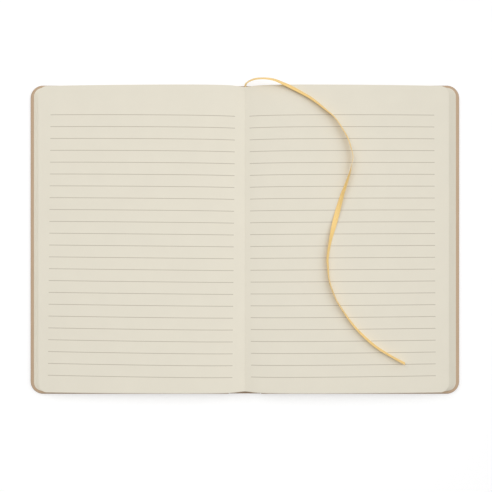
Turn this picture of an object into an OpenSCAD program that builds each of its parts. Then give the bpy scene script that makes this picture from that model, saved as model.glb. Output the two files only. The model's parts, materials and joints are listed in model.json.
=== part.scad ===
// Case-bound ruled notebook with a ribbon marker, lying open at the middle of its pages.
// +X runs across the right page, +Y to the head, +Z up, and z = 0 is the table.
// Each half of the pages is bound to its cover and ends at the gutter in a round nose.
// Both noses are centred on the hinge axes, so they roll past each other as the book shuts.

/* [Cover] */
// Height of the cover, head to tail
cover_h = 210; // [190:1:240]
// Width of one cover, from its spine edge to its fore edge
cover_w = 135; // [115:1:160]
// Radius of the cover's two fore corners
cover_r = 8.5; // [4:0.5:16]
// Thickness of the board inside a cover
board_t = 2; // [1.4:0.1:3]
// Thickness of the paper that covers the boards and the spine
wrap_t = 0.3; // [0.2:0.05:0.5]
// Rounding of a cover's edges, seen in section
edge_r = 0.9; // [0.4:0.1:1.2]
// How far the covering paper is turned in over the inside of a board
turn_in = 15; // [8:1:25]

/* [Spine] */
// Thickness of the card strip inside the spine
strip_t = 0.8; // [0.5:0.1:1.5]
// Thickness of the gauze lining glued along the strip
lining_t = 0.2; // [0.1:0.05:0.3]
// How far the lining stops short of the strip's long edges
lining_inset = 3; // [1:0.5:5]
// How far the lining stops short of the turned-in paper at head and tail
lining_stop = 1; // [0.5:0.5:4]
// Gap between the covering of the spine and that of a cover, lying open
joint_gap = 0.35; // [0.3:0.05:1]
// Diameter of the sewing thread
thread_d = 0.6; // [0.3:0.1:0.7]
// Stitches along the spine
stitches = 5; // [3:1:8]
// Distance along the spine from one stitch to the next
stitch_gap = 12; // [6:1:16]

/* [Pages] */
// Thickness of one half of the pages at its crest
stack_t = 7.5; // [5:0.5:12]
// Distance from the gutter to the crest of a page
crest_x = 38; // [25:1:55]
// How far the open page's curve falls from its crest to the lowest leaf's fore edge
crest_drop = 3.8; // [0.5:0.1:4.5]
// How far the left half's fore edge slopes back from the lowest leaf to the top one
fan_front = 4.5; // [2:0.1:8]
// How far the right half's fore edge slopes back from the lowest leaf to the top one
fan_back = 6.2; // [2:0.1:8]
// Gatherings sewn into each half
gatherings = 8; // [4:1:12]
// Corner radius of the leaves
page_r = 6; // [3:0.5:14]
// How far the cover reaches past the lowest leaf at the fore edge
fore_gap = 2.6; // [1.5:0.1:5]
// How far the cover reaches past the leaves at the head
head_gap = 1.9; // [0.8:0.1:4]
// How far the cover reaches past the leaves at the tail
tail_gap = 2.2; // [0.8:0.1:4]
// How far every second gathering stands back at head and tail
edge_step = 0.2; // [0.1:0.05:0.4]
// Thickness of one endpaper leaf
endpaper_t = 0.15; // [0.1:0.05:0.3]
// How far the pasted-down endpaper stops short of the cover's edges
paste_gap = 2.7; // [1.5:0.1:5]

/* [Ruling] */
// Distance from one ruled line to the next
rule_pitch = 7.95; // [6:0.05:10]
// Width of a ruled line
rule_w = 0.35; // [0.2:0.05:0.6]
// How far the ink stands for its colour above the paper
ink_t = 0.06; // [0.04:0.01:0.1]
// Distance from the head of a page to its first line
rule_head = 20.1; // [10:0.1:30]
// Least distance from the last line to the tail of a page
rule_tail = 8; // [5:0.5:20]
// Distance from the gutter to the near end of the lines
rule_inner = 5.5; // [3:0.5:12]
// Distance from the far end of the lines to the fore edge of the narrower page
rule_outer = 7.7; // [5:0.1:20]
// How far the left page's print sits out from the middle of its sheet
print_out_front = 1.9; // [0:0.1:2]
// How far the right page's print sits in towards the gutter
print_in_back = 1.9; // [0:0.1:2]
// Degrees by which the left page's lines fall towards the gutter
print_turn_front = 0.6; // [0:0.05:0.8]
// Degrees by which the right page's lines rise towards the fore edge
print_turn_back = 0.35; // [0:0.05:0.8]

/* [Ribbon] */
// Width of the ribbon
ribbon_w = 3.4; // [2.6:0.2:6]
// Thickness of the ribbon
ribbon_t = 0.3; // [0.2:0.05:0.5]

/* [Hidden] */
// Half the gap between the two noses, and its like where the crests meet in the shut book
nose_gap = 0.15;
crest_gap = 0.25;
// Height of the noses above what lies highest on the spine
nose_lift = 0.2;

// Levels, from the table up
strip_top = wrap_t + strip_t;
lining_top = strip_top + lining_t;
spine_top = strip_top + max(lining_t, wrap_t);
board_top = wrap_t + board_t;
cover_t = board_top + wrap_t;
pages_z = cover_t + 2 * endpaper_t;
crest_z = pages_z + stack_t;
nose_z = spine_top + nose_lift;

// The nose just fits between the spine and the crest's height, which sets the hinge axis
nose_r = (crest_z - nose_z - nose_gap + crest_gap) / 2;
hinge_z = nose_z + nose_r;
hinge_x = nose_r + nose_gap;

// Places across the book, from the gutter out
spine_w = 2 * (hinge_x + hinge_z);
cover_x = spine_w / 2 + joint_gap;
fore_x = cover_x + cover_w;
low_leaf_x = fore_x - fore_gap;
// The lowest leaf starts this far inside the cover's spine edge
low_fold_x = cover_x - 1;

page_h = cover_h - head_gap - tail_gap;
page_y = (tail_gap - head_gap) / 2;
lining_h = cover_h - 2 * (turn_in + lining_stop);
stitch_l = (lining_h - (stitches + 1) * stitch_gap) / stitches;
round_e = min(edge_r, cover_t / 2 - 0.1);

// Stations across a page where its curve is worked out, closer together near the gutter,
// and steps round a leaf's bend
stations = 40;
bend_steps = 6;
station_x = [for (i = [1 : stations]) nose_gap + (low_leaf_x - nose_gap) * pow(i / stations, 2)];

// A quarter ellipse, 0 at u = 0 with an upright start and 1 from u = 1 on
function shoulder(u) = u <= 0 ? 0 : u >= 1 ? 1 : sqrt(1 - pow(1 - u, 2));

// Height of the open page: up a quarter ellipse to the crest, then gently down to the fore edge
function crest(x) = x < crest_x
    ? hinge_z + (crest_z - hinge_z) * shoulder((x - nose_gap) / (crest_x - nose_gap))
    : crest_z - crest_drop * pow((x - crest_x) / (low_leaf_x - crest_x), 2);

// A leaf at fraction f of the stack: where its fold stands on the spine, how wide it bends there,
// where the fore edge of gathering i lies, and the leaf's height at x
function fold_x(f) = low_fold_x + (nose_gap - low_fold_x) * f;
function bend(f) = 16 * f * (1 - f) + 0.1;
function step_x(i, fan) = low_leaf_x - fan * i / (gatherings - 1);
function leaf_z(f, x) = let (flat_z = pages_z + f * (crest(x) - pages_z))
    nose_z + (flat_z - nose_z) * shoulder((x - fold_x(f)) / bend(f));
function leaf_line(f, end_x) = concat(
    [for (k = [0 : bend_steps]) let (x = fold_x(f) + bend(f) * pow(k / bend_steps, 2)) [x, leaf_z(f, x)]],
    [for (x = station_x) if (x > fold_x(f) + bend(f) + 0.05 && x < end_x - 0.05) [x, leaf_z(f, x)]],
    [[end_x, leaf_z(f, end_x)]]);
function reversed(list) = [for (i = [len(list) - 1 : -1 : 0]) list[i]];

kraft = [0.77, 0.67, 0.55];
card = [0.60, 0.56, 0.50];
gauze = [0.90, 0.88, 0.82];
cream = [0.89, 0.87, 0.80];
ink = [0.76, 0.73, 0.67];
gold = [0.95, 0.78, 0.45];

// Section of a plate from its corner's centre out: square inside, rounded at the rim
module edge_section(reach, t, e) {
    square([reach - e, t]);
    translate([0, e]) square([reach, t - 2 * e]);
    for (z = [e, t - e]) translate([reach - e, z]) circle(r = e, $fn = 24);
}

// A plate from x = 0 to w with its three outer edges rounded and two round corners
module edged_plate(w, h, r, t, e) {
    translate([0, r - h / 2, 0]) cube([w - r, h - 2 * r, t]);
    translate([w - r, h / 2 - r, 0]) rotate([90, 0, 0]) linear_extrude(h - 2 * r) edge_section(r, t, e);
    for (side = [0, 1]) mirror([0, side, 0]) translate([0, h / 2 - r, 0]) {
        rotate([90, 0, 90]) linear_extrude(w - r) edge_section(r, t, e);
        translate([w - r, 0, 0]) rotate_extrude(angle = 90, $fn = 64) edge_section(r, t, e);
    }
}

// Outline of a sheet from x = start to end with its two outer corners rounded
module sheet_outline(start, end, h, r) {
    translate([start, -h / 2]) square([end - start - r, h]);
    translate([start, r - h / 2]) square([end - start, h - 2 * r]);
    for (y = [r - h / 2, h / 2 - r]) translate([end - r, y]) circle(r = r, $fn = 64);
}

// A cover's board
module board() {
    color(card) translate([cover_x, 0, wrap_t])
        edged_plate(cover_w - wrap_t, cover_h - 2 * wrap_t, cover_r - wrap_t, board_t, round_e - wrap_t);
}

// The covering paper of one cover: under the board, round its edges and turned in over the top
module cover_wrap() {
    color(kraft) difference() {
        translate([cover_x, 0, 0]) edged_plate(cover_w, cover_h, cover_r, cover_t, round_e);
        board();
        translate([cover_x - 1, turn_in - cover_h / 2, board_top])
            cube([cover_w - turn_in + 1, cover_h - 2 * turn_in, 2 * wrap_t]);
    }
}

// One folded sheet: its pasted half fills the board's bare middle and laps the turned-in paper,
// and its free half lies on that under the pages
module endpaper() {
    color(cream) union() {
        translate([cover_x, turn_in - cover_h / 2, board_top])
            cube([cover_w - turn_in, cover_h - 2 * turn_in, cover_t - board_top + endpaper_t]);
        translate([0, 0, cover_t]) linear_extrude(endpaper_t)
            sheet_outline(cover_x, fore_x - paste_gap, cover_h - 2 * paste_gap, cover_r - paste_gap);
        translate([0, page_y, cover_t + endpaper_t]) linear_extrude(endpaper_t)
            sheet_outline(low_fold_x + bend(0), low_leaf_x, page_h, page_r);
    }
}

// One gathering, between two leaves of the stack, cut to the leaves' rounded outline
module gathering(i, fan) {
    end_x = step_x(i, fan);
    h = page_h - 2 * edge_step * (i % 2);
    upper = leaf_line((i + 1) / gatherings, end_x);
    lower = leaf_line(i / gatherings, end_x);
    intersection() {
        rotate([90, 0, 0]) linear_extrude(h, center = true) polygon(concat(upper, reversed(lower)));
        linear_extrude(crest_z + 1) sheet_outline(0, end_x, h, page_r);
    }
}

// Half of the pages: gatherings that rise from their folds, arch to the crest and fan out
module pages(fan) {
    color(cream) translate([0, page_y, 0]) difference() {
        union() {
            for (i = [0 : gatherings - 1]) gathering(i, fan);
        }
        difference() {
            translate([-1, -cover_h / 2, 0]) cube([hinge_x + 1, cover_h, hinge_z]);
            translate([hinge_x, cover_h / 2 + 1, hinge_z]) rotate([90, 0, 0])
                cylinder(r = nose_r, h = cover_h + 2, $fn = 96);
        }
    }
}

// The ruled lines of one page: a skin over its curve, kept only where the lines run
module ruling(shift, turn) {
    page_end_x = low_leaf_x - max(fan_front, fan_back);
    top = [for (x = station_x) if (x > 1 && x < page_end_x) [x, leaf_z(1, x)]];
    skin = concat(top, [for (p = reversed(top)) [p[0], p[1] + ink_t]]);
    start_x = rule_inner + shift;
    line_l = page_end_x - rule_outer - rule_inner;
    lines = 1 + floor((page_h - rule_head - rule_tail) / rule_pitch);
    color(ink) translate([start_x + line_l / 2, page_y, 0]) intersection() {
        translate([-start_x - line_l / 2, 0, 0])
            rotate([90, 0, 0]) linear_extrude(page_h - 2, center = true) polygon(skin);
        rotate([0, 0, turn]) for (i = [0 : lines - 1])
            translate([-line_l / 2, page_h / 2 - rule_head - i * rule_pitch - rule_w / 2, hinge_z])
                cube([line_l, rule_w, crest_z]);
    }
}

// Paper over the spine's strip, turned in at head and tail
module spine_wrap() {
    e = min(edge_r, spine_top / 2 - 0.05);
    color(kraft) translate([-spine_w / 2, 0, 0]) rotate([90, 0, 90]) linear_extrude(spine_w) difference() {
        union() {
            translate([e - cover_h / 2, 0]) square([cover_h - 2 * e, strip_top + wrap_t]);
            translate([-cover_h / 2, e]) square([cover_h, strip_top + wrap_t - 2 * e]);
            for (y = [e - cover_h / 2, cover_h / 2 - e], z = [e, strip_top + wrap_t - e])
                translate([y, z]) circle(r = e, $fn = 24);
        }
        translate([wrap_t - cover_h / 2, wrap_t]) square([cover_h - 2 * wrap_t, strip_t]);
        translate([turn_in - cover_h / 2, wrap_t]) square([cover_h - 2 * turn_in, strip_t + 2 * wrap_t]);
    }
}

module spine_strip() {
    color(card) translate([wrap_t - spine_w / 2, wrap_t - cover_h / 2, wrap_t])
        cube([spine_w - 2 * wrap_t, cover_h - 2 * wrap_t, strip_t]);
}

module spine_lining() {
    color(gauze) translate([lining_inset - spine_w / 2, -lining_h / 2, strip_top])
        cube([spine_w - 2 * lining_inset, lining_h, lining_t]);
}

// One stitch: a run along the lining whose two ends rise between the noses
module stitch() {
    r = thread_d / 2;
    rise = nose_r / 2;
    rotate([90, 0, 0]) cylinder(r = r, h = stitch_l - thread_d, center = true, $fn = 16);
    for (side = [-1, 1]) translate([0, side * (stitch_l - thread_d) / 2, 0]) {
        sphere(r = r, $fn = 16);
        cylinder(r = r, h = rise, $fn = 16);
    }
}

module sewing_thread() {
    color("white") for (i = [0 : stitches - 1])
        translate([0, (i - (stitches - 1) / 2) * (stitch_l + stitch_gap), lining_top + thread_d / 2]) stitch();
}

// The ribbon's route: x, y, z, and its lean in degrees, 0 lying flat and 90 standing on edge.
// It starts glued in the gutter, arches out over the head and comes down across the right page.
ribbon_route = [
    [0, 91, 3.2, 90], [0, 95, 3.2, 90], [0, 99, 3.2, 90], [0, 101.8, 3.8, 90], [0.4, 104, 5.3, 97],
    [1.7, 105.4, 7.3, 108], [4, 106.3, 9.1, 115], [7.5, 106.8, 10.9, 120], [12, 106.7, 12.1, 124],
    [16.5, 106.2, 12.6, 130], [20.7, 105.2, 12.5, 136], [24.7, 103.6, 12.1, 142], [28.9, 101.9, 11.7, 146],
    [32.9, 99.9, 11.5, 149], [37.1, 97.7, 11.5, 149], [44.9, 93.1, 11.6, 147], [54.3, 85.5, 12.1, 132],
    [60.4, 79.7, 12.5, 121], [67.8, 67.9, 12.7, 126], [70.5, 60.2, 12.7, 121], [71.7, 54.3, 12.6, 111],
    [70.7, 49.2, 12.4, 98], [69.5, 43.6, 12.1, 74], [66.9, 35.6, 11.8, 60], [64.7, 29.4, 11.6, 46],
    [61, 16, 11, 12], [56.9, 0, 11.5, -36], [54.9, -12, 11.8, -49], [55.1, -18.5, 11.9, -55],
    [56.1, -28.1, 11.9, -57], [60.1, -39.2, 11.9, -57], [64.1, -46.1, 11.8, -54], [70.8, -55.8, 11.5, -48],
    [78, -63.7, 11.2, -44], [87.1, -71.6, 11, -47], [97.8, -78.3, 10.8, -56], [106.7, -83.1, 10.4, -54]];
// Rings from one point of the route to the next
ribbon_rings = 2;

// A point of the smooth curve through the route: a cubic between neighbours, at t from 0 to 1
function smooth(a, b, c, d, t) =
    0.5 * (2 * b + (c - a) * t + (2 * a - 5 * b + 4 * c - d) * t * t + (3 * b - a - 3 * c + d) * t * t * t);
function route_at(i, t) = let (p = ribbon_route, n = len(p) - 1)
    smooth(p[max(i - 1, 0)], p[i], p[min(i + 1, n)], p[min(i + 2, n)], t);
ribbon_line = concat(
    [for (i = [0 : len(ribbon_route) - 2], k = [0 : ribbon_rings - 1]) route_at(i, k / ribbon_rings)],
    [ribbon_route[len(ribbon_route) - 1]]);

function place(p) = [p[0], p[1], p[2]];
function unit(v) = v / norm(v);
function heading(i) = let (n = len(ribbon_line) - 1)
    unit(place(ribbon_line[min(i + 1, n)]) - place(ribbon_line[max(i - 1, 0)]));
// Direction across the ribbon: level and square to its heading, then turned by its lean
function across(i) = let (ahead = heading(i), level = unit(cross(ahead, [0, 0, 1])), lean = ribbon_line[i][3])
    level * cos(lean) + cross(ahead, level) * sin(lean);
// The section's eight corners as shares of half the width and half the thickness
ribbon_section = [[1, -0.5], [1, 0.5], [0.9, 1], [-0.9, 1], [-1, 0.5], [-1, -0.5], [-0.9, -1], [0.9, -1]];
function ribbon_ring(i) = let (side = across(i), up = cross(side, heading(i)))
    [for (s = ribbon_section)
        place(ribbon_line[i]) + side * s[0] * ribbon_w / 2 + up * s[1] * ribbon_t / 2];

module ribbon() {
    rings = len(ribbon_line);
    sides = len(ribbon_section);
    points = [for (i = [0 : rings - 1]) each ribbon_ring(i)];
    walls = [for (i = [0 : rings - 2], k = [0 : sides - 1]) let (a = i * sides + k, b = i * sides + (k + 1) % sides)
        each [[a, b, b + sides], [a, b + sides, a + sides]]];
    ends = [[for (k = [sides - 1 : -1 : 0]) k], [for (k = [0 : sides - 1]) (rings - 1) * sides + k]];
    color(gold) polyhedron(points, concat(walls, ends));
}

spine_wrap();
spine_strip();
spine_lining();
sewing_thread();
mirror([1, 0, 0]) board();  // front_board
mirror([1, 0, 0]) cover_wrap();  // front_wrap
mirror([1, 0, 0]) endpaper();  // front_endpaper
mirror([1, 0, 0]) pages(fan_front);  // front_pages
mirror([1, 0, 0]) ruling(print_out_front, print_turn_front);  // front_ruling
board();  // back_board
cover_wrap();  // back_wrap
endpaper();  // back_endpaper
pages(fan_back);  // back_pages
ruling(-print_in_back, print_turn_back);  // back_ruling
ribbon();
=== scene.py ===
"""Case-bound ruled notebook, lying open: leaves, cover joints, ribbon marker, finishes and stage.

The file is laid out as a Blender add-on and is run as a script. Every length is in metres in the
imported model's frame: +X across the right page, +Y to the head, +Z up, and z = 0 is the table.
"""

import json

import bpy
import numpy as np
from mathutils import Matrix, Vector


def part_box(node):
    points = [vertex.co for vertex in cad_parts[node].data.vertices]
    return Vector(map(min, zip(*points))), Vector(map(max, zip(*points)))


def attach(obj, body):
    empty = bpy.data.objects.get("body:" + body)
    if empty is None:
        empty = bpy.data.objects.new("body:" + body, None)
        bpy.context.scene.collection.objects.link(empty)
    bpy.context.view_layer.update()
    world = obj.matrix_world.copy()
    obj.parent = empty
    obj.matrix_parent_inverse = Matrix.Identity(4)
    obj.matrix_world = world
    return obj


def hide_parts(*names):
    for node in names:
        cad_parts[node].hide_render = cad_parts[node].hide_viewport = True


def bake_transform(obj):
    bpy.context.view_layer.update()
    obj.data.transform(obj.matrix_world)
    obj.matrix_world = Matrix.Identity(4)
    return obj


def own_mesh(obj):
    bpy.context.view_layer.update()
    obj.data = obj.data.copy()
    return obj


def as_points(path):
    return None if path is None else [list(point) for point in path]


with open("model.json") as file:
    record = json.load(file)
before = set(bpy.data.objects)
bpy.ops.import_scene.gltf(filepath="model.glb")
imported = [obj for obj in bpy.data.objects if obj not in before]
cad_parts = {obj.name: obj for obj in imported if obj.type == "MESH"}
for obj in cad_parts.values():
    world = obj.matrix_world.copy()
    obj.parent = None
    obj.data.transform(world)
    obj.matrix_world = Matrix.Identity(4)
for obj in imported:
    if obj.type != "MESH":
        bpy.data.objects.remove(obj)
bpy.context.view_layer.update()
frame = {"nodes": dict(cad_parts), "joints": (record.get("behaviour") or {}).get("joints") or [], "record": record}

bl_info = {
    "name": "Open Ruled Notebook",
    "version": (1, 0, 0),
    "blender": (4, 5, 0),
    "location": "View3D > Sidebar > Notebook",
    "description": "Leaves, cover joints, ribbon marker, finishes and stage of an open notebook",
    "category": "Object",
}

MM = 0.001

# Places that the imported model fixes. The left half is the mirror image of the right one.
COVER_LOW, COVER_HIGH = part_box("back_wrap")
PAGES_LOW, PAGES_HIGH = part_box("back_pages")
PAGES_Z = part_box("back_endpaper")[1].z
SPINE_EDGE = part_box("spine_wrap")[1].x
HINGE_X, _, HINGE_Z = next(
    joint["pos_m"] for joint in frame["joints"] if joint["name"] == "back_cover_hinge")
PAGE_H = PAGES_HIGH.y - PAGES_LOW.y
PAGE_Y = (PAGES_HIGH.y + PAGES_LOW.y) / 2
CREST_Z = PAGES_HIGH.z
# The folds' nearest place to the middle, and the fold and the fore edge of the lowest leaf
GUTTER = PAGES_LOW.x
LOW_FOLD = COVER_LOW.x - 1 * MM
LOW_END = PAGES_HIGH.x
# The backs of the gatherings make a nose that is round about the hinge
NOSE_R = HINGE_X - GUTTER
NOSE_Z = HINGE_Z - NOSE_R

# How far past its fold the leaf at a fraction f of the stack bends: f * (1 - f) times the spread,
# plus the least bend
BEND_SPREAD, BEND_LEAST = 16 * MM, 0.1 * MM
# The stack's slow waves: radians per metre along y and along x, the phase, and the share of each
WAVES = ((41, 9, 0, 0.5), (83, -21, 2, 0.3))
WAVE_START = 30 * MM  # the waves grow to their full height over this distance from the gutter
DIP_REACH = 7 * MM  # head and tail fall back over about this distance from the gutter
PAPER = 0.1 * MM  # thickness of the sheet at the bottom of the gutter
NO_GAP = 0.01 * MM  # how near to the middle the two halves' papers end
SHARP_ANGLE = float(np.radians(40))  # edges that turn by more stay sharp
# Steps of the curves from one point of the ribbon's route to the next, and points across it
ROUTE_STEPS, RIBBON_POINTS = 8, 13

# The camera stands where the photo's did, straight above and a little to the tail
PHOTO_PIXELS = 492
CAMERA_LENS, CAMERA_SENSOR = 40.6, 36
CAMERA_SHIFT = 16 / PHOTO_PIXELS
CAMERA_PLACE = (0.75 * MM, -15.2 * MM, 380 * MM)
# Lamps: strength, size and place. The key is far off on the right, and its size is an angle in
# radians. A broad round panel stands to the left and the head, and a small one hangs over the
# gutter.
LAMPS = {
    "key_lamp": (1.17, 1.0, (0.67, 0.22, 0.71)),
    "panel_lamp": (14.1, 1.4, (-1.1, 0.95, 1.6)),
    "top_lamp": (0.45, 0.3, (0.03, 0.02, 0.5)),
}
SKY_STRENGTH = 0.355
# What the camera sees of the table: a grey that keeps the shadow, and a glow that lifts it to white
TABLE_GREY, TABLE_GLOW = 0.68, 0.38
TABLE_REACH = 3.0
TABLE_DROP = 0.02 * MM  # the table lies this far under the covers, so that no two faces coincide

# The ribbon's route: x, y, z in millimetres, and its lean in degrees, 0 lying flat, 90 on edge
RIBBON_ROUTE = np.array([
    (0, 91, 3.2, 90), (0, 95, 3.2, 90), (0, 99, 3.2, 90),
    (0, 101.8, 3.8, 90), (0.4, 104, 5.3, 124), (1.7, 105.4, 7.3, 122),
    (4, 106.3, 9.1, 127), (7.5, 106.8, 10.9, 128), (12, 106.7, 12.1, 127),
    (16.5, 106.2, 12.6, 130), (20.7, 105.2, 12.5, 134), (24.7, 103.6, 12.1, 138),
    (28.9, 101.9, 11.7, 142), (32.9, 99.9, 11.5, 142), (37.1, 97.7, 11.5, 138),
    (44.9, 93.1, 11.6, 132), (54.3, 85.5, 12.1, 122), (60.4, 79.7, 12.5, 114),
    (67.8, 67.9, 12.7, 116), (70.5, 60.2, 12.7, 110), (71.7, 54.3, 12.6, 104),
    (70.7, 49.2, 12.4, 96), (69.5, 43.6, 12.1, 79), (66.9, 35.6, 11.8, 64),
    (64.7, 29.4, 11.6, 52), (61, 16, 11, 12), (56.9, 0, 11.5, -46),
    (54.9, -12, 11.8, -56), (55.1, -18.5, 11.9, -62), (56.1, -28.1, 11.9, -70),
    (60.1, -39.2, 11.9, -73), (64.1, -46.1, 11.8, -71), (70.8, -55.8, 11.5, -65),
    (78, -63.7, 11.2, -62), (87.1, -71.6, 11, -62), (97.8, -78.3, 10.8, -68),
    (106.7, -83.1, 10.4, -64),
]) * (MM, MM, MM, 1)


def srgb(red, green, blue):
    """A colour as a screen shows it, 0 to 255, in the linear values that the shaders use."""
    values = np.array((red, green, blue)) / 255
    linear = np.where(values > 0.04045, ((values + 0.055) / 1.055) ** 2.4, values / 12.92)
    return tuple(float(v) for v in linear)


def length(name, description, default):
    """A size in metres that the panel shows."""
    return bpy.props.FloatProperty(
        name=name, description=description, default=default, min=0, unit="LENGTH", precision=5)


def colour(name, description, *default):
    """A colour that the panel shows, its default given as on a screen, 0 to 255."""
    return bpy.props.FloatVectorProperty(
        name=name, description=description, default=srgb(*default), subtype="COLOR", min=0, max=1)


class NotebookSizes(bpy.types.PropertyGroup):
    """Sizes of the leaves, the ruling, the cover joints and the ribbon."""

    gatherings: bpy.props.IntProperty(
        name="Gatherings", description="Gatherings sewn into each half", default=8, min=1)
    sheets: bpy.props.IntProperty(
        name="Sheets", description="Folded sheets in one gathering", default=4, min=1)
    leaf_share: bpy.props.FloatProperty(
        name="Leaf share", description="Share of the pitch of the leaves that is paper",
        default=0.75, min=0.3, max=0.95)
    crest_x: length("Crest distance", "From the gutter to the crest of a page", 38 * MM)
    crest_drop: length("Crest drop", "Fall from the crest to the lowest leaf's fore edge", 3.8 * MM)
    fan_front: length(
        "Left fan", "How far the left fore edge slopes back to the top leaf", 4.5 * MM)
    fan_back: length(
        "Right fan", "How far the right fore edge slopes back to the top leaf", 6.2 * MM)
    page_corner: length("Page corner", "Corner radius of the leaves", 6 * MM)
    unevenness: length("Unevenness", "How far a leaf's edges may stray from the trim", 0.07 * MM)
    gathering_step: length(
        "Gathering step", "How much shorter every second gathering is at each end", 0.1 * MM)
    page_wave: length("Page wave", "Height of the slow waves along the leaves", 0.12 * MM)
    gutter_join: length(
        "Gutter join", "From the gutter to where the open page runs straight into it", 4 * MM)
    gutter_dip: length("Gutter dip", "How far head and tail fall back at the gutter", 0.6 * MM)
    fold_dip: length("Fold dip", "Depth of the innermost sheet's dip in the gutter", 0.12 * MM)
    shut_press: bpy.props.FloatProperty(
        name="Shut press", description="Share by which the leaves are pressed when the book shuts",
        default=0.2, min=0.01, max=0.5)
    rule_pitch: length("Line pitch", "From one ruled line to the next", 7.95 * MM)
    rule_width: length("Line width", "Width of a ruled line", 0.35 * MM)
    rule_head: length("First line", "From the head of a page to its first line", 20.1 * MM)
    rule_inner: length("Line start", "From the gutter to the near end of the lines", 5.5 * MM)
    rule_length: length("Line length", "Length of a ruled line", 124 * MM)
    rule_count: bpy.props.IntProperty(
        name="Lines", description="Ruled lines on a page", default=23, min=1)
    print_out: length(
        "Print shift", "How far the print sits off the middle of its sheet", 1.9 * MM)
    print_turn: bpy.props.FloatVectorProperty(
        name="Print turn", description="Turn of the left and the right page's lines, in degrees",
        size=2, default=(0.6, 0.35))
    joint_reach: length(
        "Joint reach", "How far the joint paper laps the cover and the spine", 0.5 * MM)
    joint_rise: length(
        "Joint rise", "How high the joint paper is folded up in the open joint", 2 * MM)
    joint_level: length("Joint level", "Height of the joint paper's level parts", 0.15 * MM)
    joint_inset: length(
        "Joint inset", "How far the joint paper stops short of head and tail", 0.6 * MM)
    joint_paper: length("Joint paper", "Thickness of the joint paper", 0.12 * MM)
    ribbon_width: length("Ribbon width", "Width of the ribbon", 3.4 * MM)
    ribbon_thickness: length("Ribbon thickness", "Thickness of the ribbon", 0.16 * MM)
    ribbon_cup: length("Ribbon cup", "How far the ribbon's edges rise over its middle", 0.18 * MM)
    ribbon_hidden: length(
        "Ribbon hidden", "First stretch of the ribbon, glued in the gutter", 11 * MM)
    ribbon_length: length("Ribbon length", "Length of the ribbon along its route", 274.7 * MM)


class NotebookColours(bpy.types.PropertyGroup):
    """Colours of the paper, boards, ink, thread and ribbon, and factors of painted light and shade on the leaves
    of the two halves.
    """

    paper: colour("Paper", "Uncoated cream paper", 228, 222, 206)
    ink: colour("Ink", "Ruled lines", 176, 166, 150)
    kraft: colour("Kraft", "Covering paper", 192, 166, 139)
    board: colour("Board", "Binder's board", 152, 140, 124)
    gauze: colour("Gauze", "Lining of the spine", 228, 224, 210)
    thread: colour("Thread", "Sewing thread", 238, 234, 224)
    ribbon: colour("Ribbon", "Satin ribbon", 255, 208, 130)
    floor: colour("Floor", "Table under the notebook", 235, 235, 235)
    # Painted light and shade on the leaves beside the open page: the left half's are painted lighter and the right
    # half's darker, for the light falling on their fans
    front_painted_light: bpy.props.FloatProperty(
        name="Left leaves", description="Lightness of the left leaves beside the open page",
        default=1.06, min=0.5, max=1.2)
    back_painted_shade: bpy.props.FloatProperty(
        name="Right leaves", description="Lightness of the right leaves beside the open page",
        default=0.93, min=0.5, max=1.2)


# Shader helpers


class Wire:
    """One socket in a material. Arithmetic on it adds Math nodes, so a formula reads as it is."""

    def __init__(self, finish, socket):
        self.finish, self.socket = finish, socket

    def _math(self, operation, *values):
        return self.finish.node(
            "ShaderNodeMath", {"operation": operation}, dict(enumerate(values)))

    def __add__(self, other):
        return self._math("ADD", self, other)

    def __sub__(self, other):
        return self._math("SUBTRACT", self, other)

    def __rsub__(self, other):
        return self._math("SUBTRACT", other, self)

    def __mul__(self, other):
        return self._math("MULTIPLY", self, other)

    def __truediv__(self, other):
        return self._math("DIVIDE", self, other)

    def __abs__(self):
        return self._math("ABSOLUTE", self)

    __radd__, __rmul__ = __add__, __mul__

    def fraction(self):
        """What is left over the whole number below."""
        return self._math("FRACT", self)

    def waves(self, pitch):
        """Goes smoothly from 0 to 1 and back once in each pitch, around one half at 0."""
        return self._math("SINE", self * float(2 * np.pi / pitch)) * 0.5 + 0.5

    def larger(self, other):
        """The larger of the two values."""
        return self._math("MAXIMUM", self, other)

    def clear_of(self, low, high):
        """0 below low, 1 above high, and a smooth step between."""
        return self.finish.node(
            "ShaderNodeMapRange", {"interpolation_type": "SMOOTHSTEP"},
            {"Value": self, "From Min": low, "From Max": high})


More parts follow.
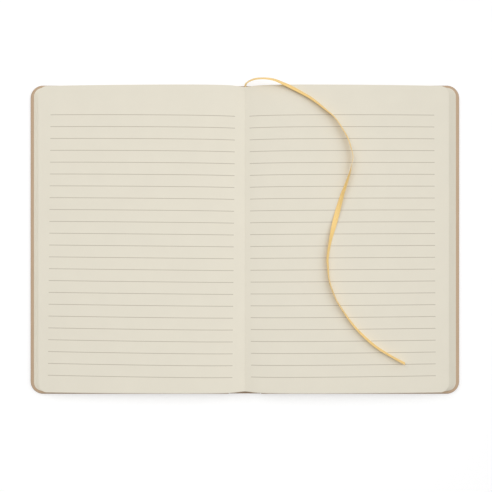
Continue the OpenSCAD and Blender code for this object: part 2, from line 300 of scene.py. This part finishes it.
class Finish:
    """A material in the making, on Object coordinates unless a piece's own UV map is asked for.
    The world's nodes are made in the same way."""

    def __init__(self, name, world=None):
        self.owner = world or bpy.data.materials.new(name)
        self.owner.use_nodes = True
        self.tree = self.owner.node_tree
        self.tree.nodes.clear()

    def node(self, kind, settings=None, values=None, output=0):
        """Adds a node: its settings first, then the value or the link of each named socket."""
        made = self.tree.nodes.new(kind)
        for key, value in (settings or {}).items():
            setattr(made, key, value)
        for key, value in (values or {}).items():
            if isinstance(value, Wire):
                self.tree.links.new(value.socket, made.inputs[key])
            else:
                made.inputs[key].default_value = value
        return Wire(self, made.outputs[output]) if made.outputs else None

    def place(self):
        """Object coordinates in metres."""
        return self.node("ShaderNodeTexCoord", output="Object")

    def map(self):
        """The piece's own map in metres."""
        return self.node("ShaderNodeUVMap", {"uv_map": "paper"})

    def parts(self, vector):
        """The three values of a vector."""
        split = self.node("ShaderNodeSeparateXYZ", values={0: vector})
        return [Wire(self, split.socket.node.outputs[i]) for i in range(3)]

    def stretched(self, vector, scale):
        """The vector times a scale of its own along each axis."""
        return self.node("ShaderNodeVectorMath", {"operation": "MULTIPLY"}, {0: vector, 1: scale})

    def noise(self, vector, size, detail=3.0, roughness=0.55):
        """Smooth noise about 0.5 whose patches are about size metres across."""
        return self.node("ShaderNodeTexNoise", values={
            "Vector": vector, "Scale": 1 / size, "Detail": detail, "Roughness": roughness})

    def mix(self, share, low, high):
        """A colour between two, which are colours of four values or wires."""
        made = self.node("ShaderNodeMix", {"data_type": "RGBA"}, {0: share, 6: low, 7: high})
        return Wire(self, made.socket.node.outputs[2])

    def shown(self):
        """1 where the camera, a reflection or a clear piece sees the surface, 0 for its light."""
        ray = self.node("ShaderNodeLightPath").socket.node.outputs
        camera, glossy, clear = (
            Wire(self, ray[f"Is {kind} Ray"]) for kind in ("Camera", "Glossy", "Transmission"))
        return camera.larger(glossy.larger(clear))

    def seen_as(self, lit, seen):
        """One shader for the light that a surface gives, and another for what is seen of it."""
        return self.node("ShaderNodeMixShader", values={0: self.shown(), 1: lit, 2: seen})

    def end(self, base, roughness, height, rise, **constants):
        """Closes the material. A height of 1 stands up by rise metres, and constants are the
        sockets that don't vary over the surface."""
        bump = self.node("ShaderNodeBump", values={"Height": height, "Distance": rise})
        shader = self.node("ShaderNodeBsdfPrincipled", values={
            "Base Color": base, "Roughness": roughness, "Normal": bump,
            **{key.replace("_", " "): value for key, value in constants.items()}})
        self.node("ShaderNodeOutputMaterial", values={"Surface": shader})
        return self.owner


def shade(tint, factor):
    """The colour made lighter or darker by a factor, with an alpha of 1."""
    return (*(min(1.0, channel * factor) for channel in tint), 1.0)


# Finishes. A noise is as large as its patches, and a tone runs from dark at 0 to pale at 1.


def paper_base(finish, tint):
    """Uncoated paper: faint clouds of formation, and fibres a tenth of a millimetre wide."""
    place = finish.place()
    clouds = finish.noise(place, size=14 * MM, detail=2.0)
    fibres = finish.noise(
        finish.stretched(place, (1.0, 0.45, 1.0)), size=0.28 * MM, detail=4.0, roughness=0.65)
    tone = clouds * 0.45 + fibres * 0.55
    base = finish.mix(tone, shade(tint, 0.955), shade(tint, 1.045))
    return base, fibres


def paper_end(finish, base, fibres):
    """Dull paper whose fibres stand up by 0.02 mm."""
    return finish.end(base, fibres * 0.12 + 0.82, fibres, 0.02 * MM, Specular_IOR_Level=0.25)


def page_finish(name, tint):
    """Plain uncoated paper."""
    finish = Finish(name)
    return paper_end(finish, *paper_base(finish, tint))


def ruled_finish(name, side, sizes, colours):
    """The open page: its ruled lines are drawn on its own map, which is flat paper in metres."""
    finish = Finish(name)
    base, fibres = paper_base(finish, colours.paper)
    across, up, _ = finish.parts(finish.map())
    # The print sits out from the gutter on the left page and in towards it on the right one
    shift = sizes.print_out if side < 0 else -sizes.print_out
    turn = np.radians(sizes.print_turn[0 if side < 0 else 1])
    cosine, sine = float(np.cos(turn)), float(np.sin(turn))
    from_middle = across - (sizes.rule_inner + shift + sizes.rule_length / 2)
    along = from_middle * cosine + up * sine
    rise = up * cosine - from_middle * sine
    # Lines are numbered from 0 at the head, and a point's number says how far down it lies
    number = (PAGE_H / 2 - sizes.rule_head - rise) / sizes.rule_pitch
    off_line = abs((number + 0.5).fraction() - 0.5) * sizes.rule_pitch
    blur, half = 0.05 * MM, sizes.rule_width / 2
    wobble = (fibres - 0.5) * (0.08 * MM)
    line = 1 - (off_line + wobble).clear_of(half - blur, half + blur)
    inside = (sizes.rule_length / 2 - abs(along)).clear_of(-blur, blur)
    below_first = number.clear_of(-0.5, -0.49)
    above_last = (sizes.rule_count - 0.5 - number).clear_of(-0.01, 0.0)
    ink = line * inside * (below_first * above_last) * (0.78 + fibres * 0.3)
    return paper_end(finish, finish.mix(ink, base, shade(colours.ink, 1.0)), fibres)


def kraft_finish(name, tint, own_map=False):
    """Kraft covering paper: long dark and pale fibres over soft clouds, with painted shade on its rounded edge. On
    the joint paper, which bends, the pattern lies on the piece's own map."""
    finish = Finish(name)
    place = finish.map() if own_map else finish.place()
    clouds = finish.noise(place, size=22 * MM)
    laid = finish.noise(
        finish.stretched(place, (1.0, 0.16, 1.0)), size=0.5 * MM, detail=5.0, roughness=0.7)
    crossed = finish.noise(
        finish.stretched(place, (0.2, 1.0, 1.0)), size=0.4 * MM, detail=4.0, roughness=0.7)
    flecks = (laid * crossed).clear_of(0.30, 0.44)
    tone = clouds * 0.4 + laid * 0.35 + crossed * 0.25
    base = finish.mix(tone, shade(tint, 0.86), shade(tint, 1.13))
    base = finish.mix(flecks * 0.35, base, shade(tint, 1.28))
    if not own_map:
        # Painted shade: the rounded edge, between the cover's two faces, is darkened as if it were turned away
        # from the light
        _, _, rise = finish.parts(place)
        middle = COVER_HIGH.z / 2
        edge = 1 - abs(rise - middle).clear_of(middle - 0.25 * MM, middle)
        base = finish.mix(edge * (0.6 + clouds * 0.4), base, shade(tint, 0.68))
    return finish.end(base, laid * 0.15 + 0.68, laid + crossed, 0.03 * MM, Specular_IOR_Level=0.3)


def board_finish(name, tint):
    """Binder's board: grey-brown pulp in thin layers, with pale and dark specks."""
    finish = Finish(name)
    place = finish.place()
    pulp = finish.noise(place, size=0.9 * MM, detail=6.0, roughness=0.7)
    layers = finish.noise(finish.stretched(place, (0.1, 0.1, 4.0)), size=0.6 * MM)
    base = finish.mix(pulp * 0.6 + layers * 0.4, shade(tint, 0.75), shade(tint, 1.25))
    return finish.end(base, pulp * 0.1 + 0.85, pulp + layers, 0.06 * MM)


def gauze_finish(name, tint):
    """Glued gauze: an open plain weave of 1 mm pitch, its holes filled with dull glue."""
    finish = Finish(name)
    across, along, _ = finish.parts(finish.place())
    weft, warp = across.waves(1 * MM), along.waves(1 * MM)
    weave = 1 - (1 - weft) * (1 - warp)
    base = finish.mix(weave, shade(tint, 0.72), shade(tint, 1.05))
    return finish.end(base, weave * 0.2 + 0.65, weave, 0.1 * MM)


def thread_finish(name, tint):
    """Waxed thread: two plies turning round its length at 1.2 mm a turn."""
    finish = Finish(name)
    place = finish.place()
    across, along, rise = finish.parts(place)
    plies = (along + across * 2.0 + rise * 2.0).waves(0.6 * MM)
    fibres = finish.noise(place, size=0.15 * MM)
    base = finish.mix(plies * 0.7 + fibres * 0.3, shade(tint, 0.75), shade(tint, 1.05))
    return finish.end(base, fibres * 0.15 + 0.5, plies, 0.08 * MM)


def ribbon_finish(name, tint, width):
    """Satin ribbon on its own map: fine warp threads along it, slanting floats, firm edges."""
    finish = Finish(name)
    across, along, _ = finish.parts(finish.map())
    warp = across.waves(0.11 * MM)
    floats = (along + across * 1.6).waves(0.42 * MM)
    spun = finish.noise(finish.stretched(finish.map(), (1.0, 0.06, 1.0)), size=0.25 * MM)
    edge = (abs(across - width / 2) * (2 / width)).clear_of(0.84, 0.93)
    tone = spun * 0.5 + floats * 0.28 + warp * 0.22
    base = finish.mix(tone, shade(tint, 0.82), shade(tint, 1.16))
    base = finish.mix(edge * 0.35, base, shade(tint, 0.86))
    return finish.end(
        base, 0.36 + spun * 0.12 + edge * 0.15, warp * 0.4 + floats * 0.5 + edge * 0.6, 0.03 * MM,
        Sheen_Weight=0.12, Sheen_Roughness=0.4, Specular_IOR_Level=0.5)


# Meshes


def make_piece(name, points, faces, map_points=None):
    """A mesh object from arrays of points and faces, its map given point by point in metres."""
    mesh = bpy.data.meshes.new(name)
    mesh.from_pydata(points, [], faces)
    if map_points is not None:
        corners = np.empty(len(mesh.loops), dtype=np.int32)
        mesh.loops.foreach_get("vertex_index", corners)
        layer = mesh.uv_layers.new(name="paper")
        layer.data.foreach_set("uv", map_points[corners].astype(np.float32).ravel())
    mesh.shade_smooth()
    mesh.set_sharp_from_angle(angle=SHARP_ANGLE)
    mesh.validate()
    piece = bpy.data.objects.new(name, mesh)
    bpy.context.scene.collection.objects.link(piece)
    return piece


def dress(piece, material):
    """Gives a piece its one material."""
    piece.data.materials.clear()
    piece.data.materials.append(material)


def closed_sheet_faces(ring, rows):
    """Quads of a tube of ring points by rows, and the two strips that close its ends.
    Points are numbered row by row, and a ring's second half runs back under its first."""
    here = np.arange(ring)
    after = (here + 1) % ring
    start = (np.arange(rows - 1) * ring)[:, None]
    walls = np.stack(
        [start + here, start + after, start + ring + after, start + ring + here], axis=-1)
    near = np.arange(ring // 2 - 1)
    strip = np.stack([near, ring - 1 - near, ring - 2 - near, near + 1], axis=-1)
    return np.vstack([walls.reshape(-1, 4), strip, strip[:, ::-1] + (rows - 1) * ring])


def grid(*coordinates):
    """Points row by row. Each coordinate varies along the rows, from row to row or both ways."""
    return np.stack(np.broadcast_arrays(*coordinates), axis=-1).reshape(-1, len(coordinates))


def travelled(points):
    """How far along a line each of its points lies."""
    steps = np.linalg.norm(np.diff(points, axis=0), axis=1)
    return np.concatenate([[0], np.cumsum(steps)])


def strip_section(x, upper, lower):
    """A thin strip's section as a ring of x and z: out along its upper side and back below."""
    return np.vstack([np.column_stack([x, upper]), np.column_stack([x, lower])[::-1]])


def mirrored(points, faces, side):
    """The right half's points and faces, or their mirror image in x for the left half."""
    if side > 0:
        return points, faces
    return points * (-1, 1, 1), faces[:, ::-1]


# The leaves. Their shape is the solids', but for the open page's straight run into the gutter.


def shoulder(u):
    """A quarter ellipse: 0 at u = 0 with an upright start, and 1 from u = 1 on."""
    return np.sqrt(1 - (1 - np.clip(u, 0, 1)) ** 2)


def leaf_shape(sizes, fraction, x):
    """Height of the leaf at that fraction of the stack: its share of the way from the endpaper up
    to the open page, reached along a quarter ellipse that starts upright at the leaf's fold.
    The open page itself climbs a quarter ellipse to its crest and falls as a parabola."""
    climb = HINGE_Z + (CREST_Z - HINGE_Z) * shoulder((x - GUTTER) / (sizes.crest_x - GUTTER))
    past = (x - sizes.crest_x) / (LOW_END - sizes.crest_x)
    open_page = np.where(x < sizes.crest_x, climb, CREST_Z - sizes.crest_drop * past**2)
    fold = LOW_FOLD + (GUTTER - LOW_FOLD) * fraction
    width = BEND_SPREAD * fraction * (1 - fraction) + BEND_LEAST
    level = PAGES_Z + fraction * (open_page - PAGES_Z)
    return NOSE_Z + (level - NOSE_Z) * shoulder((x - fold) / width)


def depth_in(x, z):
    """How far a point lies inside the back of the pages: the nose round the hinge, and the
    level of the folds beside it."""
    on_nose = NOSE_R - np.hypot(x - HINGE_X, z - HINGE_Z)
    return np.where(z >= HINGE_Z, x - GUTTER, np.where(x < HINGE_X, on_nose, z - NOSE_Z))


def leaf_line(sizes, fraction, end, clear, flat_points, corner_points):
    """One leaf in section, from where it is clear of its fold to its fore edge. It is worked out
    at fine samples first. Its stations then crowd towards the fold, and those of the corner
    follow the sine of an even turn."""
    samples = 600
    fold = LOW_FOLD + (GUTTER - LOW_FOLD) * fraction
    x = fold + (end - sizes.page_corner - fold) * np.linspace(0, 1, samples) ** 3
    z = leaf_shape(sizes, fraction, x)
    first = int(np.argmax(depth_in(x, z) >= clear))
    x, z = x[first:], z[first:]
    travel = travelled(np.column_stack([x, z]))
    stops = travel[-1] * np.linspace(0, 1, flat_points) ** 2
    turn = np.linspace(0, np.pi / 2, corner_points + 1)[1:]
    corner = end - sizes.page_corner * (1 - np.sin(turn))
    return np.vstack([
        np.column_stack([np.interp(stops, travel, x), np.interp(stops, travel, z)]),
        np.column_stack([corner, leaf_shape(sizes, fraction, corner)])])


def fold_arc(low, high, points, bulge):
    """Half a turn round the back of a folded sheet, from the start of its low leaf to its high
    one's: an ellipse that stands out by bulge times half the distance between them."""
    turn = np.linspace(0, np.pi, points + 2)[1:-1, None]
    half = (low - high) / 2
    outward = np.array([half[1], -half[0]]) * bulge
    return (low + high) / 2 + half * np.cos(turn) + outward * np.sin(turn)


def corner_cut(sizes, x, end):
    """How much less than half its height a leaf is at x, for its round corner."""
    into = np.clip(x - (end - sizes.page_corner), 0, sizes.page_corner)
    return sizes.page_corner - np.sqrt(sizes.page_corner**2 - into**2)


def swept(sizes, section, cut, half, shift, rows):
    """A section in x and z carried from tail to head: y runs between the leaf's two edges, and the
    stack's slow waves along y lower it by its share of the stack's height."""
    x, z = section.T
    share = np.linspace(-1, 1, rows)[:, None]
    dip = sizes.gutter_dip * np.exp(-((x / DIP_REACH) ** 2))
    y = PAGE_Y + shift + share * (half - cut - dip)
    height = np.clip((z - PAGES_Z) / (CREST_Z - PAGES_Z), 0, 1)
    ripple = sum(part * (np.sin(y * along + x * across + phase) - 1)
                 for along, across, phase, part in WAVES)
    return grid(x, y, z + sizes.page_wave * height * ripple * shoulder(x / WAVE_START))


def build_leaves(sizes, fan, seed):
    """The leaves of one half but the open page, gathering by gathering: nested folded sheets, each
    with its middle height as a fraction of the stack. A sheet's ring runs along its outer side,
    round its fold, and back along its inner side. The open page is the last gathering's top leaf,
    so the sheet that it belongs to has only its low leaf here."""
    random = np.random.default_rng(seed)
    per_gathering = 2 * sizes.sheets
    pitch = 1 / (sizes.gatherings * per_gathering)
    thin = sizes.leaf_share * pitch / 2
    clear = (LOW_FOLD - GUTTER) / sizes.gatherings / 2
    stations, arc_points, rows = (26, 6), 7, 9
    for gathering in range(sizes.gatherings):
        points, faces, count, bulge = [], [], 0, None
        for sheet in range(sizes.sheets):
            low = (gathering * per_gathering + sheet + 0.5) * pitch
            high = ((gathering + 1) * per_gathering - sheet - 0.5) * pitch
            stray = random.uniform(-1, 1, 4) * sizes.unevenness
            low_end, high_end = LOW_END - sizes.unevenness - fan * np.array([low, high]) + stray[:2]
            outer = leaf_line(sizes, low - thin, low_end, clear, *stations)
            inner = leaf_line(sizes, low + thin, low_end, clear, *stations)
            end = np.full(len(outer), low_end)
            if gathering < sizes.gatherings - 1 or sheet > 0:
                over = leaf_line(sizes, high + thin, high_end, clear, *stations)
                under = leaf_line(sizes, high - thin, high_end, clear, *stations)
                # The outermost fold's bulge, which keeps clear of the next gathering, holds for all
                bulge = bulge or min(1.0, clear / np.linalg.norm(over[0] - outer[0]) * 2)
                outer = np.vstack([
                    outer[::-1], fold_arc(outer[0], over[0], arc_points, bulge), over])
                inner = np.vstack([
                    inner[::-1], fold_arc(inner[0], under[0], arc_points, bulge), under])
                end = np.concatenate([
                    end, np.full(arc_points, low_end), np.full(len(over), high_end)])
            section = np.vstack([outer, inner[::-1]])
            cut = corner_cut(sizes, section[:, 0], np.concatenate([end, end[::-1]]))
            shorter = sizes.unevenness * 2 + abs(stray[3]) + sizes.gathering_step * (gathering % 2)
            points.append(swept(sizes, section, cut, PAGE_H / 2 - shorter, stray[2], rows))
            faces.append(closed_sheet_faces(len(section), rows) + count)
            count += len(points[-1])
        yield (gathering + 0.5) / sizes.gatherings, np.vstack(points), np.vstack(faces)


def into_gutter(sizes, line):
    """The open page leaves its quarter ellipse at the join and runs straight on, along the tangent
    there, to the middle of the gutter, where the two halves' pages meet in a shallow valley. The
    tangent is taken between the points one step to either side of the join."""
    join, step = sizes.gutter_join, 0.1 * MM
    low, height, high = np.interp([join - step, join, join + step], line[:, 0], line[:, 1])
    share = np.clip((join - line[:, 0]) / (join - line[0, 0]), 0, 1)
    near = join - share * (join - NO_GAP)
    straight = np.column_stack([near, height - (high - low) / (2 * step) * (join - near)])
    return np.where(share[:, None] > 0, straight, line)


def build_open_page(sizes, fan):
    """The top leaf, on a finer grid, with a flat map of its own in metres."""
    pitch = 1 / (sizes.gatherings * sizes.sheets * 2)
    thin = sizes.leaf_share * pitch
    end = LOW_END - fan
    clear, stack, stations, rows = 0.02 * MM, 10 * MM, (90, 10), 61
    upper = into_gutter(sizes, leaf_line(sizes, 1.0, end, clear, *stations))
    lower = into_gutter(sizes, leaf_line(sizes, 1.0 - thin, end, clear + thin * stack, *stations))
    section = np.vstack([upper, lower[::-1]])
    cut = corner_cut(sizes, section[:, 0], end)
    points = swept(sizes, section, cut, PAGE_H / 2, 0, rows)
    flat = points[:, :2] - (0, PAGE_Y)
    return points, closed_sheet_faces(len(section), rows), flat


def press_flat(sizes, piece, half, side, fraction):
    """In the shut book the hump of the leaves would sink and their fore edges rise towards the other
    half's. At its fraction of the stack a piece would rise by fraction * (slope * x + level) and
    sink by press * (z - PAGES_Z), so that the gutter stays and no leaf passes the crest's height.
    The slope is the root at which the parabola of the open page just touches that height. This
    works out the slope, the level and the tilt and gives the piece a mesh of its own, but does not move the piece."""
    press = sizes.shut_press
    reach, climb = LOW_END - sizes.crest_x, CREST_Z - HINGE_Z
    bend = reach**2 / (4 * sizes.crest_drop * (1 - press))
    run = sizes.crest_x - GUTTER
    slope = (-run + np.sqrt(run**2 + 4 * bend * press * climb)) / (2 * bend)
    level = press * (HINGE_Z - PAGES_Z) - slope * GUTTER
    tilt = float(np.arctan2(fraction * slope, press))
    PAGES_Z + fraction * float(level) / press
    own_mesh(piece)


def build_middle_fold(sizes):
    """The bottom of the gutter: the innermost sheet dips from nose to nose as a parabola."""
    columns = rows = 9
    share = np.linspace(-1, 1, columns)
    z = HINGE_Z - sizes.fold_dip * (1 - share**2)
    section = strip_section(share * (GUTTER - NO_GAP), z, z - PAPER)
    y = PAGE_Y + np.linspace(-1, 1, rows)[:, None] * (PAGE_H / 2 - sizes.gutter_dip)
    points = grid(section[:, 0], y, section[:, 1])
    return points, closed_sheet_faces(len(section), rows)


def build_joint(sizes):
    """Covering paper in the open joint: level under the spine and the cover, with a fold that
    stands up between them. Its map is laid out along the arc that it makes in the shut book."""
    columns = rows = 41
    start, end = SPINE_EDGE - sizes.joint_reach, COVER_LOW.x + sizes.joint_reach
    share = np.linspace(0, 1, columns)
    x = start + (end - start) * share
    middle, spread = (SPINE_EDGE + COVER_LOW.x) / 2, 0.3 * (COVER_LOW.x - SPINE_EDGE)
    z = sizes.joint_level + sizes.joint_rise * np.exp(-(((x - middle) / spread) ** 2))
    section = strip_section(x, z + sizes.joint_paper / 2, z - sizes.joint_paper / 2)
    y = np.linspace(-1, 1, rows)[:, None] * (COVER_HIGH.y - sizes.joint_inset)
    arc = np.hypot(middle - HINGE_X, HINGE_Z) * np.pi / 2
    flat = grid(np.concatenate([share, share[::-1]]) * arc, y)
    return grid(section[:, 0], y, section[:, 1]), closed_sheet_faces(len(section), rows), flat


# The ribbon


def smooth_route(points, steps):
    """A cubic from each point to the next. Its slope at a point is half the step between that
    point's neighbours."""
    padded = np.vstack([points[:1], points, points[-1:]])
    a, b, c, d = padded[:-3], padded[1:-2], padded[2:-1], padded[3:]
    t = (np.arange(steps) / steps)[:, None, None]
    spans = 0.5 * (2 * b + (c - a) * t + (2 * a - 5 * b + 4 * c - d) * t**2
                   + (3 * b - a - 3 * c + d) * t**3)
    return np.vstack([spans.transpose(1, 0, 2).reshape(-1, points.shape[1]), points[-1:]])


def unit(vectors):
    """Each vector at a length of 1."""
    return vectors / np.linalg.norm(vectors, axis=-1, keepdims=True)


def build_ribbon(sizes):
    """A flat section carried along the route. Its direction across is level and square to the
    heading, turned about the heading by the lean; its middle is cupped and its edges are firm.
    The hidden first stretch is pressed flat and thin, and the full section grows from its end."""
    route = smooth_route(RIBBON_ROUTE, ROUTE_STEPS)
    line, lean = route[:, :3], np.radians(route[:, 3:])
    heading = unit(np.gradient(line, axis=0))
    level = unit(np.cross(heading, (0, 0, 1)))
    across = level * np.cos(lean) + np.cross(heading, level) * np.sin(lean)
    face = np.cross(across, heading)
    travel = travelled(line)[:, None]
    full = np.clip((travel - sizes.ribbon_hidden) / sizes.ribbon_hidden, 0, 1)
    # Shares of half the width, which crowd towards the two edges
    share = np.sin(np.linspace(-1, 1, RIBBON_POINTS) * np.pi / 2)
    firm_edge = 1 + 0.35 * full * np.abs(share) ** 8
    round_edge = np.sqrt(np.clip(1 - share**12, 0.15, 1))
    wall = sizes.ribbon_thickness / 2 * (0.5 + 0.5 * full) * firm_edge * round_edge
    cup = sizes.ribbon_cup * (share**2 - 0.5) * full
    ring = np.concatenate([share[::-1], share])
    rise = np.concatenate([(cup + wall)[:, ::-1], cup - wall], axis=1)
    points = (line[:, None] + across[:, None] * ring[None, :, None] * sizes.ribbon_width / 2
              + face[:, None] * rise[:, :, None])
    flat = grid((ring + 1) / 2 * sizes.ribbon_width, travel)
    return points.reshape(-1, 3), closed_sheet_faces(len(ring), len(line)), flat, line


# Operators, in the order in which they are called


class NotebookStage(bpy.types.Operator):
    """Make the camera, the lamps and the pale table"""

    bl_idname = "notebook.stage"
    bl_label = "Stage"

    def execute(self, context):
        scene = context.scene
        lens = bpy.data.cameras.new("camera")
        lens.lens, lens.sensor_width, lens.shift_y = CAMERA_LENS, CAMERA_SENSOR, CAMERA_SHIFT
        camera = bpy.data.objects.new("camera", lens)
        camera.location = CAMERA_PLACE
        scene.collection.objects.link(camera)
        scene.camera = camera
        scene.view_settings.view_transform = "Standard"

        scene.world = bpy.data.worlds.new("studio")
        sky = Finish("studio", scene.world)
        light, white = (
            sky.node("ShaderNodeBackground", values={"Color": (1, 1, 1, 1), "Strength": strength})
            for strength in (SKY_STRENGTH, 1))
        sky.node("ShaderNodeOutputWorld", values={"Surface": sky.seen_as(light, white)})

        for name, (strength, size, place) in LAMPS.items():
            far = name == "key_lamp"
            lamp = bpy.data.lights.new(name, "SUN" if far else "AREA")
            lamp.energy = strength
            if far:
                lamp.angle = size
            else:
                lamp.shape, lamp.size = "DISK", size
            holder = bpy.data.objects.new(name, lamp)
            holder.location = place
            holder.rotation_mode = "QUATERNION"
            holder.rotation_quaternion = (-Vector(place)).to_track_quat("-Z", "Y")
            scene.collection.objects.link(holder)

        # Light comes back from the plain table, and the camera sees the white one
        top = Finish("table")
        plain, dim = (
            top.node("ShaderNodeBsdfDiffuse", values={"Color": tint})
            for tint in (shade(scene.notebook_colours.floor, 1.0), (*[TABLE_GREY] * 3, 1)))
        glow = top.node(
            "ShaderNodeEmission", values={"Color": (1, 1, 1, 1), "Strength": TABLE_GLOW})
        white = top.node("ShaderNodeAddShader", values={0: dim, 1: glow})
        top.node("ShaderNodeOutputMaterial", values={"Surface": top.seen_as(plain, white)})
        corners = np.array([(-1, -1), (1, -1), (1, 1), (-1, 1)]) * TABLE_REACH
        corners = np.column_stack([corners, np.full(4, -TABLE_DROP)])
        table = make_piece("table", corners, [(0, 1, 2, 3)])
        table.data.materials.append(top.owner)
        return {"FINISHED"}


class NotebookRibbon(bpy.types.Operator):
    """Make the ribbon marker"""

    bl_idname = "notebook.ribbon"
    bl_label = "Ribbon marker"

    def execute(self, context):
        sizes, colours = context.scene.notebook_sizes, context.scene.notebook_colours
        points, faces, flat, line = build_ribbon(sizes)
        ribbon = make_piece("ribbon_marker", points, faces, flat)
        satin = ribbon_finish("ribbon_satin", colours.ribbon, sizes.ribbon_width)
        dress(ribbon, satin)
        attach(ribbon, "back_cover")
        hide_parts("ribbon")
        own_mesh(ribbon)
        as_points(line)
        return {"FINISHED"}


class NotebookLeaves(bpy.types.Operator):
    """Make the folded leaves and the ruled open page of both halves"""

    bl_idname = "notebook.leaves"
    bl_label = "Leaves"

    def execute(self, context):
        sizes, colours = context.scene.notebook_sizes, context.scene.notebook_colours
        cream = page_finish("page_paper", colours.paper)
        # Name, side, fan, seed and the factor of painted light on the leaves' edges: the left half's are painted
        # lighter and the right half's darker
        halves = [("front", -1, sizes.fan_front, 11, colours.front_painted_light),
                  ("back", 1, sizes.fan_back, 12, colours.back_painted_shade)]
        for half, side, fan, seed, tone in halves:
            # Painted light and shade: these leaves' paper is the cream times the half's factor, lighter on the
            # left and darker on the right
            painted_light_leaf_finish = page_finish(f"{half}_leaf_paper_painted_light", shade(colours.paper, tone)[:3])
            for number, (fraction, *mesh) in enumerate(build_leaves(sizes, fan, seed), 1):
                leaves = make_piece(f"{half}_gathering_{number}", *mirrored(*mesh, side))
                dress(leaves, painted_light_leaf_finish)
                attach(leaves, f"{half}_cover")
                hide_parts(f"{half}_pages")
                press_flat(sizes, leaves, half, side, fraction)
            points, faces, flat = build_open_page(sizes, fan)
            page = make_piece(f"{half}_open_page", *mirrored(points, faces, side), flat)
            dress(page, ruled_finish(f"{half}_ruled_paper", side, sizes, colours))
            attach(page, f"{half}_cover")
            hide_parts(f"{half}_ruling")
            press_flat(sizes, page, half, side, 1.0)
        fold = make_piece("middle_fold", *build_middle_fold(sizes))
        dress(fold, cream)
        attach(fold, "spine")
        return {"FINISHED"}


class NotebookJoints(bpy.types.Operator):
    """Make the covering paper that bends between the spine and each cover"""

    bl_idname = "notebook.joints"
    bl_label = "Cover joints"

    def execute(self, context):
        sizes, colours = context.scene.notebook_sizes, context.scene.notebook_colours
        kraft = kraft_finish("joint_kraft", colours.kraft, own_map=True)
        points, faces, flat = build_joint(sizes)
        for half, side in [("front", -1), ("back", 1)]:
            joint = make_piece(f"{half}_cover_joint", *mirrored(points, faces, side), flat)
            dress(joint, kraft)
            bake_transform(joint)
        return {"FINISHED"}


class NotebookCase(bpy.types.Operator):
    """Give the cover, the spine and the endpapers their finishes"""

    bl_idname = "notebook.case"
    bl_label = "Case"

    def execute(self, context):
        colours = context.scene.notebook_colours
        finishes = {
            "covering_paper": kraft_finish("covering_kraft", colours.kraft),
            "board": board_finish("grey_board", colours.board),
            "gauze": gauze_finish("glued_gauze", colours.gauze),
            "thread": thread_finish("waxed_thread", colours.thread),
            "page_paper": page_finish("endpaper", colours.paper),
        }
        # A node that a piece replaces is hidden, and stays as it is
        for part in frame["record"]["subparts"]:
            slot = part["material_slot"]
            node = frame["nodes"][part["node"]]
            if slot in finishes and not node.hide_render:
                dress(node, finishes[slot])
        return {"FINISHED"}


class NotebookPanel(bpy.types.Panel):
    """Lists the notebook's sizes, its colours and the operators that make it"""

    bl_idname = "VIEW3D_PT_notebook"
    bl_label = "Open Ruled Notebook"
    bl_space_type = "VIEW_3D"
    bl_region_type = "UI"
    bl_category = "Notebook"

    def draw(self, context):
        for operator in OPERATORS:
            self.layout.operator(operator.bl_idname)
        for group in (context.scene.notebook_sizes, context.scene.notebook_colours):
            box = self.layout.box()
            for name in group.__annotations__:
                box.prop(group, name)


OPERATORS = (NotebookStage, NotebookRibbon, NotebookLeaves, NotebookJoints, NotebookCase)
CLASSES = (NotebookSizes, NotebookColours, *OPERATORS, NotebookPanel)


def register():
    for made in CLASSES:
        bpy.utils.register_class(made)
    bpy.types.Scene.notebook_sizes = bpy.props.PointerProperty(type=NotebookSizes)
    bpy.types.Scene.notebook_colours = bpy.props.PointerProperty(type=NotebookColours)


def unregister():
    del bpy.types.Scene.notebook_colours, bpy.types.Scene.notebook_sizes
    for made in reversed(CLASSES):
        bpy.utils.unregister_class(made)


def main():
    register()
    bpy.ops.notebook.stage()
    bpy.ops.notebook.ribbon()
    bpy.ops.notebook.leaves()
    bpy.ops.notebook.joints()
    bpy.ops.notebook.case()


if __name__ == "__main__":
    main()
